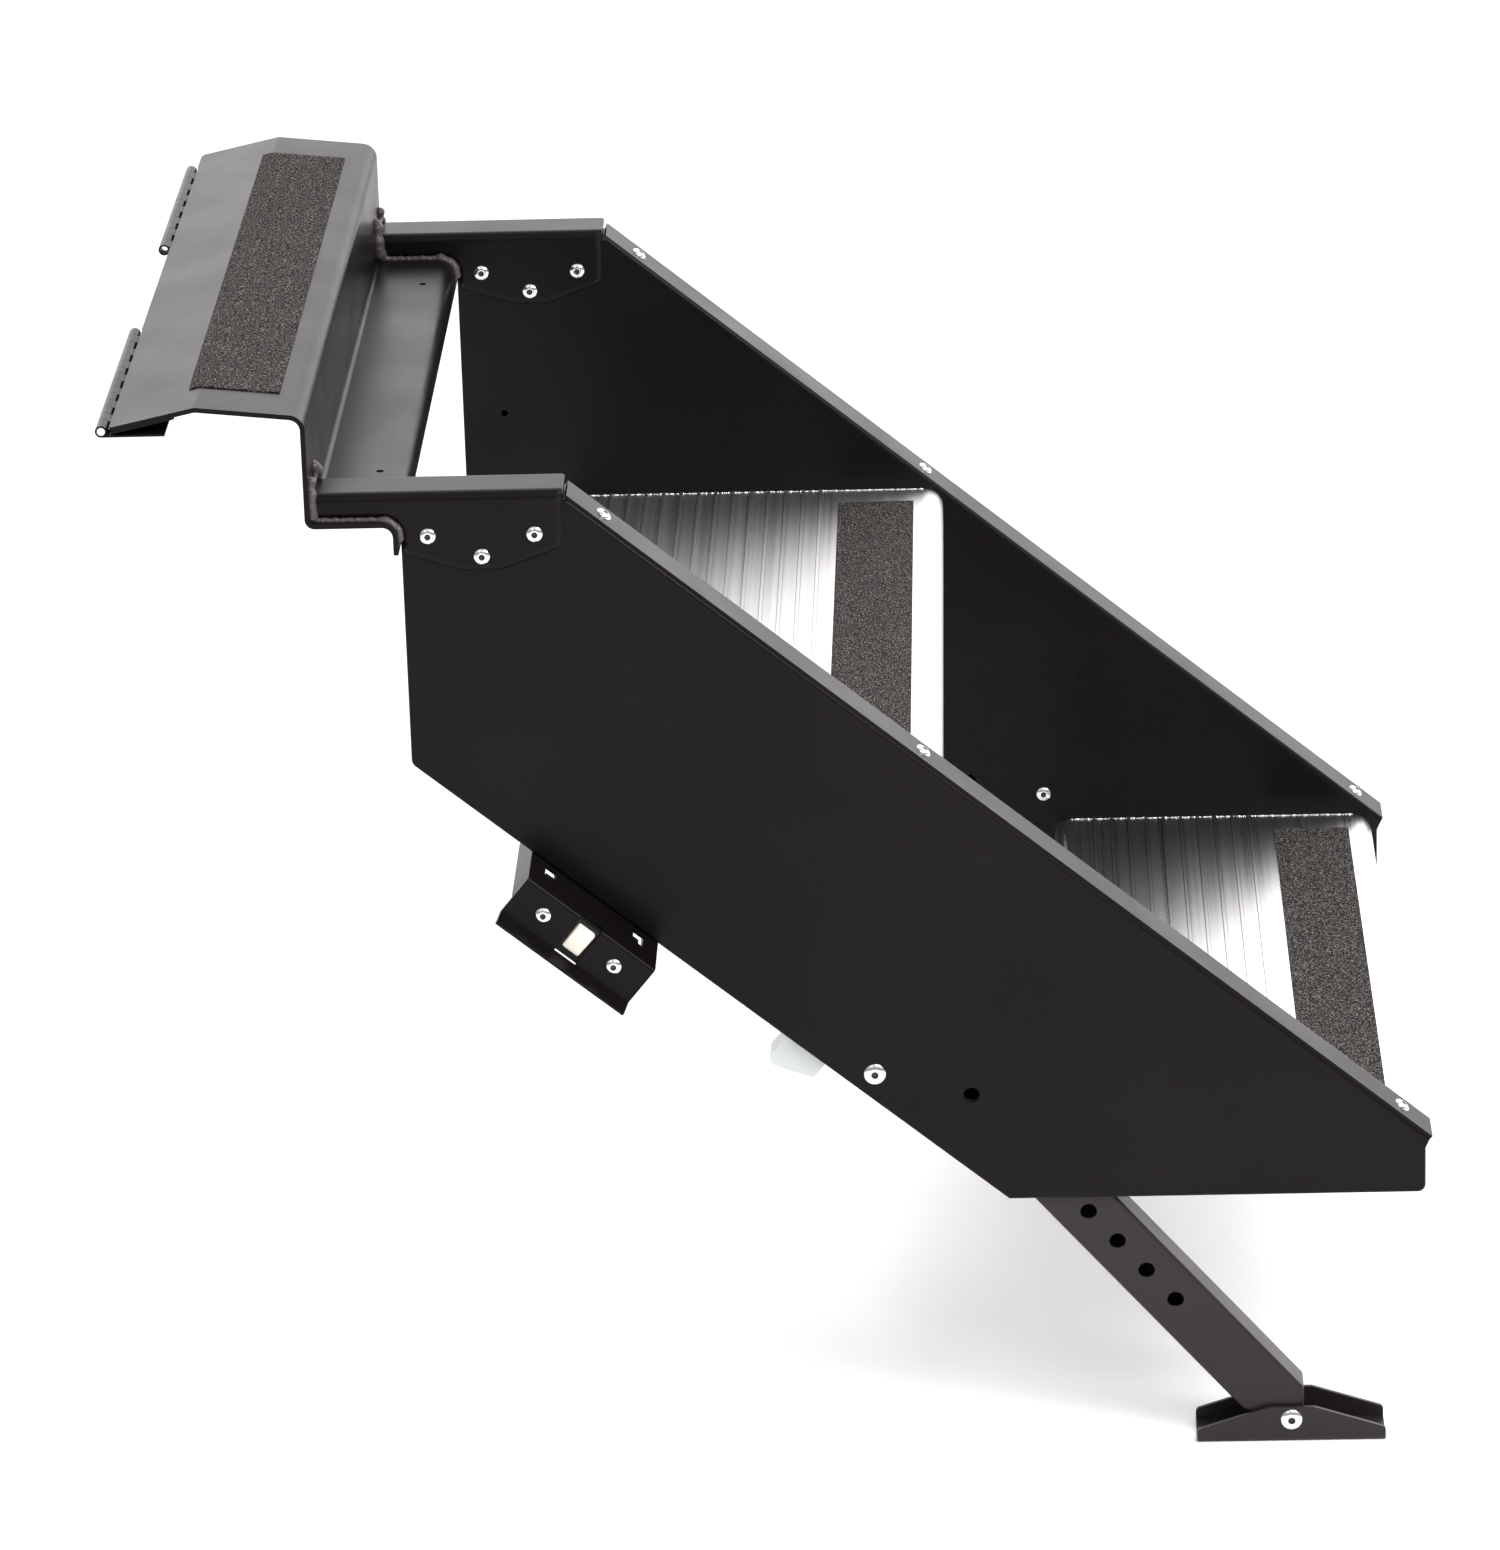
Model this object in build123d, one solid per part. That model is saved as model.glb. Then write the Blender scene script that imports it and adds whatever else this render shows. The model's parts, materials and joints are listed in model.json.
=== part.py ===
from build123d import *
import math
import os

os.makedirs("parts", exist_ok=True)

# Frame: origin on the caravan floor under the hinge pin, mid width.
# X runs out and down the steps, Y runs across, Z is up. Sizes in mm.
# The near side has negative Y.

# side boxes
width_over_skins = 583.0
box_thickness = 32.0
skin_thickness = 2.0
skin_bend_radius = 3.0
trim_inset = 1.0
box_back_x = 175.5
box_top_z = -48.2
box_heel_z = -215.3
slope_start_x = 276.7
nose_overhang = 2.9
slope_end_z = -474.6
box_toe_x = 533.7
box_bottom_z = -510.4
box_front_x = 791.5
front_corner_radius = 5.0
trim_start_x = 274.8
small_hole_radius = 2.25
small_hole_at = (203.3, -167.8)

# hinge to the caravan floor
hinge_leaf_thickness = 1.2
floor_leaf_width = 38.0
plate_leaf_width = 40.0
pin_radius = 2.4
knuckle_clearance = 0.05
knuckle_wall = 1.2
knuckle_gap = 0.4
knuckle_pitch = 13.3
near_knuckles = 15
far_knuckles = 14
knuckle_relief = 6.0
plate_relief = 5.2
strap_inset = 0.3
far_hinge_start = 82.5
far_pin_recess = 4.0
screw_hole_radius = 2.5
screw_hole_x = 24.0
screw_hole_pitch = 50.0
screw_holes_per_leaf = 4

# threshold plate
plate_thickness = 3.0
plate_overhang = 8.0
plate_rear = (4.15, 5.87)
plate_crown = (56.3, 17.5)
plate_wall_x = 122.0
plate_brow_z = 10.6
shelf_top_z = -57.5
shelf_front_x = 174.5
lip_bottom_z = -78.0
brow_inner_radius = 7.0
shelf_inner_radius = 3.0
lip_inner_radius = 6.5
plate_corner_radius = 3.0
shelf_hole_radius = 2.5
shelf_hole_x = 157.0
shelf_hole_y = 198.5
grip_thickness = 0.8
threshold_grip_inset = 41.0
threshold_grip_rear = 46.6
threshold_grip_front = 48.0

# arms
arm_thickness = 2.5
arm_top_z = -40.8
arm_bend_radius = 5.5
arm_end_x = 274.0
arm_end_radius = 1.5
arm_gap = 0.4
arm_lower_edge = ((274.0, -66.0), (272.4, -78.4), (236.9, -91.7), (212.7, -91.7), (177.6, -80.8))
arm_lower_radii = (3.0, 6.0, 12.0, 12.0, 6.0)
arm_tab_drop = 13.0
arm_tab_radius = 8.0
arm_rivet_at = ((192.0, -68.0), (256.3, -68.0), (224.1, -81.5))

# rivets
rivet_head_radius = 5.2
rivet_head_height = 2.2
rivet_shank_radius = 3.2
rivet_clearance = 0.05
rivet_tail = 1.5
flange_rivet_rear_setback = 21.2
flange_rivet_middle_x = 485.1
flange_rivet_front_setback = 15.3

# treads
tread_height = 34.0
tread_wall = 2.2
tread_fit = 0.1
tread_front_radius = 12.0
tread_rear_radius = 10.0
web_radius = 1.5
rib_width = 2.0
rib_height = 1.2
rib_pitch = 11.83
rib_clearance = 11.5
upper_tread_rear_x = 245.5
upper_tread_depth = 252.5
upper_tread_top_z = -227.6
upper_rib_setback = 28.2
upper_grip_setback = 19.6
lower_tread_rear_x = 570.0
lower_tread_depth = 217.5
lower_tread_top_z = -469.1
lower_rib_setback = 27.4
lower_grip_setback = 17.1
tread_grip_width = 50.8
tread_grip_inset = 27.0
cell_limit = 75.0

# legs, along their own axis from the lock hole
leg_width = 25.4
leg_depth = 38.1
leg_wall = 2.0
leg_angle = 48.8
lock_at = (511.6, -439.6)
lock_hole_radius = 5.0
leg_hole_radius = 5.2
leg_hole_pitch = 27.0
leg_hole_count = 8
leg_top = -60.0
foot_pivot_along = 298.0
guide_clearance = 0.3
guide_side_clearance = 0.1
lower_guide_rivet_at = (452.3, -424.4)
upper_guide_rivet_at = (562.9, -450.0)
lower_guide_head_radius = 7.0

# feet
foot_thickness = 2.5
foot_inner_width = 28.0
foot_length = 118.0
foot_sole_drop = 15.2
foot_end_height = 9.0
foot_leaf_rise = 8.3
foot_flat_half = 14.3
foot_corner_radius = 3.0
pivot_radius = 4.0
pivot_clearance = 0.05
pivot_head_radius = 7.0
pivot_head_height = 2.4

# latch on the near box, along and out from the sloping underside
latch_thickness = 2.0
latch_reach = 43.0
latch_place = 92.0
latch_width = 97.0
latch_face_height = 29.0
latch_lip_length = 13.0
latch_lip_angle = 75.0
latch_wall_height = 17.0
latch_wall_depth = 92.0
latch_slot_width = 16.1
latch_slot_reach = 8.0
latch_rivet_spread = 53.8
latch_rivet_drop = 13.8
latch_anchor_spread = 42.0
latch_window_spread = 67.3
latch_window_width = 7.4
latch_window_length = 18.0
latch_window_margin = 4.0
latch_guide_width = 71.0
latch_guide_length = 32.0
tongue_width = 12.3
tongue_height = 18.0
tongue_top_drop = 4.5
tongue_proud = 2.0
tongue_clearance = 0.35

# glide pads under the boxes
glide_place = 290.0
glide_length = 30.0
glide_width = 20.0
glide_deep_end = 23.6
glide_shallow_end = 13.0

# derived sizes
half_width = width_over_skins / 2
inner_face_y = half_width - box_thickness
cavity_outer_y = half_width - skin_thickness
cavity_inner_y = inner_face_y + skin_thickness
box_center_y = half_width - box_thickness / 2
bore_radius = pin_radius + knuckle_clearance
barrel_radius = bore_radius + knuckle_wall
pin_z = barrel_radius
plate_width = width_over_skins + 2 * plate_overhang
near_hinge_y = (-plate_width / 2, -plate_width / 2 + near_knuckles * knuckle_pitch)
far_hinge_y = (far_hinge_start, far_hinge_start + far_knuckles * knuckle_pitch)
slope_end_x = box_front_x + nose_overhang
latch_middle = latch_place + latch_width / 2
slope_angle = math.atan2(box_top_z - slope_end_z, slope_end_x - slope_start_x)
slope_along = (math.cos(slope_angle), -math.sin(slope_angle))
slope_normal = (math.sin(slope_angle), math.cos(slope_angle))
leg_along = (math.cos(math.radians(leg_angle)), -math.sin(math.radians(leg_angle)))
leg_normal = (-leg_along[1], leg_along[0])
pivot_at = (
    lock_at[0] + foot_pivot_along * leg_along[0],
    lock_at[1] + foot_pivot_along * leg_along[1],
)
foot_center_x = pivot_at[0]


def unit(start, end):
    """Unit vector between two points of a flat outline."""
    length = math.hypot(end[0] - start[0], end[1] - start[1])
    return ((end[0] - start[0]) / length, (end[1] - start[1]) / length)


def shifted(path, distance, closed=False):
    """Path moved sideways to its right hand, with mitred corners."""
    moved = []
    count = len(path)
    for index, point in enumerate(path):
        before = path[index - 1] if index > 0 or closed else None
        after = path[(index + 1) % count] if index < count - 1 or closed else None
        arriving = unit(before, point) if before else unit(point, after)
        leaving = unit(point, after) if after else arriving
        first = (arriving[1], -arriving[0])
        second = (leaving[1], -leaving[0])
        shared = 1 + first[0] * second[0] + first[1] * second[1]
        moved.append((
            point[0] + distance * (first[0] + second[0]) / shared,
            point[1] + distance * (first[1] + second[1]) / shared,
        ))
    return moved


def outline(points, radii):
    """Flat face in the XZ plane with its corners rounded."""
    count = len(points)
    corners = []
    for index, point in enumerate(points):
        arriving = unit(points[index - 1], point)
        leaving = unit(point, points[(index + 1) % count])
        cross = arriving[0] * leaving[1] - arriving[1] * leaving[0]
        dot = arriving[0] * leaving[0] + arriving[1] * leaving[1]
        turn = math.atan2(abs(cross), dot)
        radius = radii[index]
        if radius == 0 or turn < 0.001:
            corners.append((point, None, point))
            continue
        reach = radius * math.tan(turn / 2)
        start = (point[0] - reach * arriving[0], point[1] - reach * arriving[1])
        end = (point[0] + reach * leaving[0], point[1] + reach * leaving[1])
        bisector = unit(point, ((start[0] + end[0]) / 2, (start[1] + end[1]) / 2))
        sagitta = radius / math.cos(turn / 2) - radius
        middle = (point[0] + sagitta * bisector[0], point[1] + sagitta * bisector[1])
        corners.append((start, middle, end))
    edges = []
    for index, (start, middle, end) in enumerate(corners):
        if middle:
            arc = [(p[0], 0, p[1]) for p in (start, middle, end)]
            edges.append(ThreePointArc(*arc))
        following = corners[(index + 1) % count][0]
        if math.hypot(following[0] - end[0], following[1] - end[1]) > 0.0001:
            edges.append(Line((end[0], 0, end[1]), (following[0], 0, following[1])))
    return make_face(Wire(edges))


def prism(points, y_from, y_to, radii=None):
    """Straight block with an XZ outline between two Y positions."""
    if radii is None:
        radii = [0] * len(points)
    if isinstance(radii, (int, float)):
        radii = [radii] * len(points)
    face = Pos(0, y_from, 0) * outline(points, radii)
    return extrude(face, amount=y_to - y_from, dir=(0, 1, 0))


def folded(path, thickness, bends, y_from, y_to):
    """Bent sheet: the path is one face and the sheet lies to its right."""
    other = shifted(path, thickness)
    near_radii = [0]
    far_radii = [0]
    for index in range(1, len(path) - 1):
        arriving = unit(path[index - 1], path[index])
        leaving = unit(path[index], path[index + 1])
        cross = arriving[0] * leaving[1] - arriving[1] * leaving[0]
        inner = bends[index - 1]
        outer = inner + abs(thickness)
        right_turn = cross < 0
        inside_right = right_turn == (thickness > 0)
        near_radii.append(outer if inside_right else inner)
        far_radii.append(inner if inside_right else outer)
    near_radii.append(0)
    far_radii.append(0)
    points = list(path) + other[::-1]
    return prism(points, y_from, y_to, near_radii + far_radii[::-1])


def cross_bar(at, radius, y_from, y_to):
    """Cylinder along Y."""
    center_y = (y_from + y_to) / 2
    bar = Cylinder(radius, abs(y_to - y_from), rotation=(90, 0, 0))
    return Pos(at[0], center_y, at[1]) * bar


def rivet(head_radius, head_height, shank_radius, grip, tail):
    """Blind rivet standing on Z = 0 with its shank below."""
    half = [
        (0, head_height * 0.4),
        (head_radius * 0.45, head_height),
        (head_radius, 0),
        (shank_radius, 0),
        (shank_radius, -grip - tail),
        (0, -grip - tail),
    ]
    profile = make_face(Polyline(*[(r, 0, z) for r, z in half], close=True))
    return revolve(profile, Axis.Z)


def rivet_on_side(at, face_y, outward, grip, head_radius=rivet_head_radius):
    """Rivet with its head on a face across Y; outward is 1 or -1."""
    body = rivet(head_radius, rivet_head_height, rivet_shank_radius, grip, rivet_tail)
    return Pos(at[0], face_y, at[1]) * Rot(-90 * outward, 0, 0) * body


def mirrored(part):
    """Far side copy of a near side part."""
    return mirror(part, Plane.XZ)


def save(part, name):
    """One STEP file per node."""
    export_step(part, f"parts/{name}.step")


def joined(parts):
    """Compound of separate identical pieces."""
    return Compound(children=[solid for part in parts for solid in part.solids()])


# hinge leaves, pins and knuckles
rivet_hole_radius = rivet_shank_radius + rivet_clearance
ramp_along = unit(plate_rear, plate_crown)
ramp_down = (ramp_along[1], -ramp_along[0])
leaf_depth = plate_thickness + hinge_leaf_thickness


def on_ramp(along, down):
    """Point measured along the ramp and down from its top face."""
    return (
        plate_rear[0] + along * ramp_along[0] + down * ramp_down[0],
        plate_rear[1] + along * ramp_along[1] + down * ramp_down[1],
    )


def knuckle_ranges(hinge_y, first):
    """Y ranges of every second knuckle, counted from the near end."""
    count = round((hinge_y[1] - hinge_y[0]) / knuckle_pitch)
    starts = [hinge_y[0] + index * knuckle_pitch for index in range(first, count, 2)]
    return [(start, start + knuckle_pitch) for start in starts]


def knuckle_reliefs(hinge_y, first, radius):
    """Round cuts that clear the knuckles of the other leaf."""
    cuts = []
    for start, end in knuckle_ranges(hinge_y, first):
        low = start - (knuckle_gap / 2 if start > hinge_y[0] + 1 else 1)
        high = end + (knuckle_gap / 2 if end < hinge_y[1] - 1 else 1)
        cuts.append(cross_bar((0, pin_z), radius, low, high))
    return cuts


def knuckled_leaf(leaf, hinge_y, first, strap):
    """Hinge leaf with its own knuckles, each with a strap to its leaf."""
    for cut in knuckle_reliefs(hinge_y, 1 - first, knuckle_relief):
        leaf -= cut
    for start, end in knuckle_ranges(hinge_y, first):
        low = start + (knuckle_gap / 2 if start > hinge_y[0] + 1 else 0)
        high = end - (knuckle_gap / 2 if end < hinge_y[1] - 1 else 0)
        leaf += cross_bar((0, pin_z), barrel_radius, low, high)
        if strap:
            leaf += prism(strap, low, high)
    return leaf - cross_bar((0, pin_z), bore_radius, hinge_y[0] - 1, hinge_y[1] + 1)


def floor_leaf(hinge_y, first):
    """Leaf that is screwed to the caravan floor."""
    flat = [(0, 0), (floor_leaf_width, 0),
            (floor_leaf_width, hinge_leaf_thickness), (0, hinge_leaf_thickness)]
    leaf = knuckled_leaf(prism(flat, *hinge_y), hinge_y, first, None)
    middle = (hinge_y[0] + hinge_y[1]) / 2
    first_hole = middle - screw_hole_pitch * (screw_holes_per_leaf - 1) / 2
    for index in range(screw_holes_per_leaf):
        hole = Cylinder(screw_hole_radius, 4 * hinge_leaf_thickness)
        leaf -= Pos(screw_hole_x, first_hole + index * screw_hole_pitch, 0) * hole
    return leaf


def plate_leaf(hinge_y, first):
    """Leaf that is welded under the ramp of the threshold plate."""
    start = -plate_rear[0] / ramp_along[0]
    flat = [on_ramp(start, plate_thickness), on_ramp(plate_leaf_width, plate_thickness),
            on_ramp(plate_leaf_width, leaf_depth), on_ramp(start, leaf_depth)]
    strap = [(0, pin_z + barrel_radius - strap_inset), on_ramp(-strap_inset, 0),
             on_ramp(-strap_inset, plate_thickness + hinge_leaf_thickness / 2), (0, pin_z)]
    return knuckled_leaf(prism(flat, *hinge_y), hinge_y, first, strap)


# the floor leaf has the first knuckle on the near hinge and the plate leaf on the far one
hinges = (("near", near_hinge_y, 0), ("far", far_hinge_y, 1))
plate_notches = []
for side, hinge_y, floor_first in hinges:
    save(floor_leaf(hinge_y, floor_first), f"floor_leaf_{side}")
    save(plate_leaf(hinge_y, 1 - floor_first), f"plate_leaf_{side}")
    plate_notches += knuckle_reliefs(hinge_y, floor_first, plate_relief)
near_pin = cross_bar((0, pin_z), pin_radius, *near_hinge_y)
far_pin = cross_bar((0, pin_z), pin_radius, far_hinge_y[0] + far_pin_recess, far_hinge_y[1])
save(joined([near_pin, far_pin]), "hinge_pins")

# threshold plate with its grip tape
plate_path = [
    plate_rear,
    plate_crown,
    (plate_wall_x, plate_brow_z),
    (plate_wall_x, shelf_top_z),
    (shelf_front_x, shelf_top_z),
    (shelf_front_x, lip_bottom_z),
]
plate_bends = [3.0, brow_inner_radius, shelf_inner_radius, lip_inner_radius]
plate = folded(plate_path, plate_thickness, plate_bends, -plate_width / 2, plate_width / 2)
for end in (-1, 1):
    corners = [
        edge for edge in plate.edges()
        if abs(edge.center().Y - end * plate_width / 2) < 0.01
        and edge.center().X < plate_rear[0] + plate_thickness
        and edge.length < plate_thickness + 0.1
    ]
    rear_edge = min(corners, key=lambda edge: edge.center().X)
    corner_x = rear_edge.center().X
    trim = Pos(corner_x, end * plate_width / 2, 0) * Box(
        2 * plate_corner_radius, 2 * plate_corner_radius, 30)
    rounder = Pos(corner_x + plate_corner_radius,
                  end * (plate_width / 2 - plate_corner_radius), 0) * Cylinder(
        plate_corner_radius, 40)
    plate -= trim - rounder
for notch in plate_notches:
    plate -= notch
for end in (-1, 1):
    plate -= Pos(shelf_hole_x, end * shelf_hole_y, shelf_top_z) * Cylinder(shelf_hole_radius, 20)
save(plate, "threshold_plate")

fall_along = unit(plate_crown, (plate_wall_x, plate_brow_z))
grip_path = [
    on_ramp(threshold_grip_rear, 0),
    plate_crown,
    (plate_crown[0] + threshold_grip_front * fall_along[0],
     plate_crown[1] + threshold_grip_front * fall_along[1]),
]
grip_half = plate_width / 2 - threshold_grip_inset
grip = folded(grip_path, -grip_thickness, [plate_bends[0] + plate_thickness],
              -grip_half, grip_half)
save(grip, "threshold_grip")

# outlines of the side boxes
box_points = [
    (box_back_x, box_top_z),
    (slope_start_x, box_top_z),
    (slope_end_x, slope_end_z),
    (box_front_x, slope_end_z - 6.4),
    (box_front_x, box_bottom_z),
    (box_toe_x, box_bottom_z),
    (box_back_x, box_heel_z),
]
box_radii = [4, 4, 0, 0, front_corner_radius, 0, 6]
cavity_points = shifted(box_points, skin_thickness, closed=True)
toe_inside = cavity_points[5]
cavity_points[4] = (cavity_points[4][0], box_bottom_z - 10)
cavity_points[5] = (toe_inside[0], box_bottom_z - 10)
cavity_points.insert(6, toe_inside)
cavity_radii = [2, 2, 0, 0, 0, 0, 0, 4]


def tread_outline(rear_x, depth, top_z, growth=0.0):
    """Outline of a tread extrusion, grown all round by a gap."""
    rear, front = rear_x, rear_x + depth
    low = top_z - tread_height
    points = [(rear - growth, top_z + growth), (front + growth, top_z + growth),
              (front + growth, low - growth), (rear - growth, low - growth)]
    radii = [tread_rear_radius + growth, tread_front_radius + growth,
             tread_front_radius + growth, tread_rear_radius + growth]
    return points, radii


def on_slope(along_x, rise):
    """Point on the sloping top, given by its x, raised along the normal."""
    base_z = box_top_z - (along_x - slope_start_x) * math.tan(slope_angle)
    return (along_x + rise * slope_normal[0], base_z + rise * slope_normal[1])


def on_underside(along, drop):
    """Point measured along and out from the sloping underside."""
    heel = (box_back_x, box_heel_z)
    run = unit(heel, (box_toe_x, box_bottom_z))
    out = (run[1], -run[0])
    return (heel[0] + along * run[0] + drop * out[0], heel[1] + along * run[1] + drop * out[1])


# outer skin: a pan whose turned edges reach the inner skin
outer_skin = prism(box_points, -half_width, -cavity_inner_y, box_radii)
rim = [
    edge for edge in outer_skin.edges()
    if abs(edge.bounding_box().min.Y + half_width) < 0.01
    and abs(edge.bounding_box().max.Y + half_width) < 0.01
]
outer_skin = fillet(rim, skin_bend_radius - 0.8)
outer_skin -= prism(cavity_points, -cavity_outer_y, -cavity_inner_y + 1, cavity_radii)

# inner skin: flat sheet, its top flange lies on the pan
skin_points = list(box_points)
inner_skin = prism(skin_points, -cavity_inner_y, -inner_face_y, box_radii)
flange = prism([on_slope(trim_start_x, 0), on_slope(trim_start_x, skin_thickness),
                on_slope(slope_end_x, skin_thickness), on_slope(slope_end_x, 0)],
               -half_width + trim_inset, -inner_face_y)
inner_skin += flange
bend_edges = [
    edge for edge in inner_skin.edges()
    if abs(edge.center().Y + inner_face_y) < 0.01 and edge.length > (slope_end_x - trim_start_x) / 2
    and edge.center().Z > on_slope((trim_start_x + slope_end_x) / 2, 1)[1]
]
inner_skin = fillet(bend_edges, skin_bend_radius)
upper_tread_place = (upper_tread_rear_x, upper_tread_depth, upper_tread_top_z)
lower_tread_place = (lower_tread_rear_x, lower_tread_depth, lower_tread_top_z)
for tread_place in (upper_tread_place, lower_tread_place):
    points, radii = tread_outline(*tread_place, tread_fit)
    inner_skin -= prism(points, -cavity_inner_y - 1, -inner_face_y + 1, radii)
inner_skin -= cross_bar(small_hole_at, small_hole_radius, -cavity_inner_y - 1, -inner_face_y + 1)

# holes that go through both skins
outer_skin -= cross_bar(lock_at, lock_hole_radius, -half_width - 1, -cavity_inner_y + 1)
inner_skin -= cross_bar(lock_at, lock_hole_radius, -cavity_inner_y - 1, -inner_face_y + 1)
for at in arm_rivet_at:
    outer_skin -= cross_bar(at, rivet_hole_radius, -half_width - 1, -cavity_outer_y + 1)
    inner_skin -= cross_bar(at, rivet_hole_radius, -cavity_inner_y - 1, -inner_face_y + 1)
outer_skin -= cross_bar(lower_guide_rivet_at, rivet_hole_radius, -half_width - 1, -cavity_outer_y + 1)
inner_skin -= cross_bar(upper_guide_rivet_at, rivet_hole_radius, -cavity_inner_y - 1, -inner_face_y + 1)

flange_rivet_x = (trim_start_x + flange_rivet_rear_setback, flange_rivet_middle_x,
                  box_front_x - flange_rivet_front_setback)
flange_rivets = []
for x in flange_rivet_x:
    top = on_slope(x, skin_thickness)
    place = Pos(top[0], -box_center_y, top[1]) * Rot(0, math.degrees(slope_angle), 0)
    hole = place * Cylinder(rivet_hole_radius, 4 * skin_thickness + 4)
    outer_skin -= hole
    inner_skin -= hole
    body = rivet(rivet_head_radius, rivet_head_height, rivet_shank_radius,
                 2 * skin_thickness, rivet_tail)
    flange_rivets.append(place * body)

# arms over the side boxes
arm_outer_y = half_width + arm_thickness
arm_inner_y = inner_face_y - arm_thickness
arm_side = [
    (plate_wall_x, arm_top_z),
    (arm_end_x, arm_top_z),
    *arm_lower_edge,
    (shelf_front_x + arm_gap, shelf_top_z - arm_tab_drop),
    (shelf_front_x + arm_gap, shelf_top_z),
    (plate_wall_x, shelf_top_z),
]
arm_radii = [0, arm_end_radius, *arm_lower_radii, arm_tab_radius,
             lip_inner_radius + plate_thickness + arm_gap, shelf_inner_radius + arm_gap / 2]
arm = prism(arm_side, -arm_outer_y, -arm_inner_y, arm_radii)
arm_edges = [
    edge for edge in arm.edges()
    if abs(edge.center().Z - arm_top_z) < 0.01 and edge.length > 100
    and edge.bounding_box().max.Y - edge.bounding_box().min.Y < 0.01
]
arm = fillet(arm_edges, arm_bend_radius)
hollow_top_z = arm_top_z - arm_thickness
hollow_low_z = hollow_top_z - 4 * plate_thickness * arm_bend_radius
hollow_side = [(plate_wall_x - 1, hollow_top_z), (arm_end_x + 1, hollow_top_z),
               (arm_end_x + 1, hollow_low_z), (plate_wall_x - 1, hollow_low_z)]
hollow = prism(hollow_side, -half_width, -inner_face_y)
hollow_edges = [
    edge for edge in hollow.edges()
    if abs(edge.center().Z - hollow_top_z) < 0.01 and edge.length > 100
]
hollow = fillet(hollow_edges, arm_bend_radius - arm_thickness)
arm -= hollow
arm_rivets = []
for at in arm_rivet_at:
    arm -= cross_bar(at, rivet_hole_radius, -arm_outer_y - 1, -arm_inner_y + 1)
    grip_length = arm_thickness + skin_thickness
    arm_rivets.append(rivet_on_side(at, -arm_outer_y, -1, grip_length))
    arm_rivets.append(rivet_on_side(at, -arm_inner_y, 1, grip_length))

save(arm, "arm_near")
save(mirrored(arm), "arm_far")
save(joined(arm_rivets + [mirrored(part) for part in arm_rivets]), "arm_rivets")
save(joined(flange_rivets + [mirrored(part) for part in flange_rivets]), "flange_rivets")


# treads
def tread(place, rib_setback, grip_setback):
    """Hollow tread extrusion with ribs behind its grip tape."""
    rear_x, depth, top_z = place
    points, radii = tread_outline(*place)
    body = prism(points, -cavity_inner_y, cavity_inner_y, radii)
    room = depth - rib_setback - grip_setback - tread_grip_width - rib_clearance
    for index in range(int(room / rib_pitch) + 1):
        x = rear_x + rib_setback + index * rib_pitch
        rib = Box(rib_width, 2 * inner_face_y - 4 * tread_fit, 2 * rib_height)
        body += Pos(x, 0, top_z) * rib
    inner_points = shifted(points, tread_wall, closed=True)
    left = inner_points[0][0]
    right = inner_points[1][0]
    cells = math.ceil((right - left) / cell_limit)
    cell_width = (right - left - (cells - 1) * tread_wall) / cells
    for index in range(cells):
        low_x = left + index * (cell_width + tread_wall)
        high_x = low_x + cell_width
        cell = [(low_x, inner_points[0][1]), (high_x, inner_points[0][1]),
                (high_x, inner_points[2][1]), (low_x, inner_points[2][1])]
        rear = tread_rear_radius - tread_wall if index == 0 else web_radius
        front = tread_front_radius - tread_wall if index == cells - 1 else web_radius
        body -= prism(cell, -cavity_inner_y - 1, cavity_inner_y + 1, [rear, front, front, rear])
    return body


def tread_grip(place, grip_setback):
    """Strip of grip tape near the front of a tread."""
    rear_x, depth, top_z = place
    length = 2 * (inner_face_y - tread_grip_inset)
    middle_x = rear_x + depth - grip_setback - tread_grip_width / 2
    tape = Box(tread_grip_width, length, grip_thickness)
    return Pos(middle_x, 0, top_z + grip_thickness / 2) * tape


save(tread(upper_tread_place, upper_rib_setback, upper_grip_setback), "upper_tread")
save(tread(lower_tread_place, lower_rib_setback, lower_grip_setback), "lower_tread")
save(tread_grip(upper_tread_place, upper_grip_setback), "upper_tread_grip")
save(tread_grip(lower_tread_place, lower_grip_setback), "lower_tread_grip")


# legs
def on_leg(along, out, origin=lock_at):
    """Point measured along and across the leg from the lock hole."""
    return (
        origin[0] + along * leg_along[0] + out * leg_normal[0],
        origin[1] + along * leg_along[1] + out * leg_normal[1],
    )


half_depth = leg_depth / 2
leg_low_y = -box_center_y - leg_width / 2
leg_high_y = -box_center_y + leg_width / 2
leg_side = [
    on_leg(leg_top, half_depth),
    on_leg(foot_pivot_along - 9.5, half_depth),
    on_leg(foot_pivot_along + 9.8, 2.1),
    on_leg(foot_pivot_along + 9.1, -4.0),
    on_leg(foot_pivot_along + 4.5, -9.3),
    on_leg(foot_pivot_along - 24.0, -half_depth),
    on_leg(leg_top, -half_depth),
]
leg = prism(leg_side, leg_low_y, leg_high_y, [0, 2, 3, 3, 3, 2, 0])
long_edges = [
    edge for edge in leg.edges()
    if edge.length > 250 and abs(edge.tangent_at(0.5).Y) < 0.01
]
leg = fillet(long_edges, 2.5)
bore_low = half_depth - leg_wall
leg -= prism([on_leg(leg_top - 5, bore_low), on_leg(foot_pivot_along + 30, bore_low),
              on_leg(foot_pivot_along + 30, -bore_low), on_leg(leg_top - 5, -bore_low)],
             leg_low_y + leg_wall, leg_high_y - leg_wall)
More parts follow.
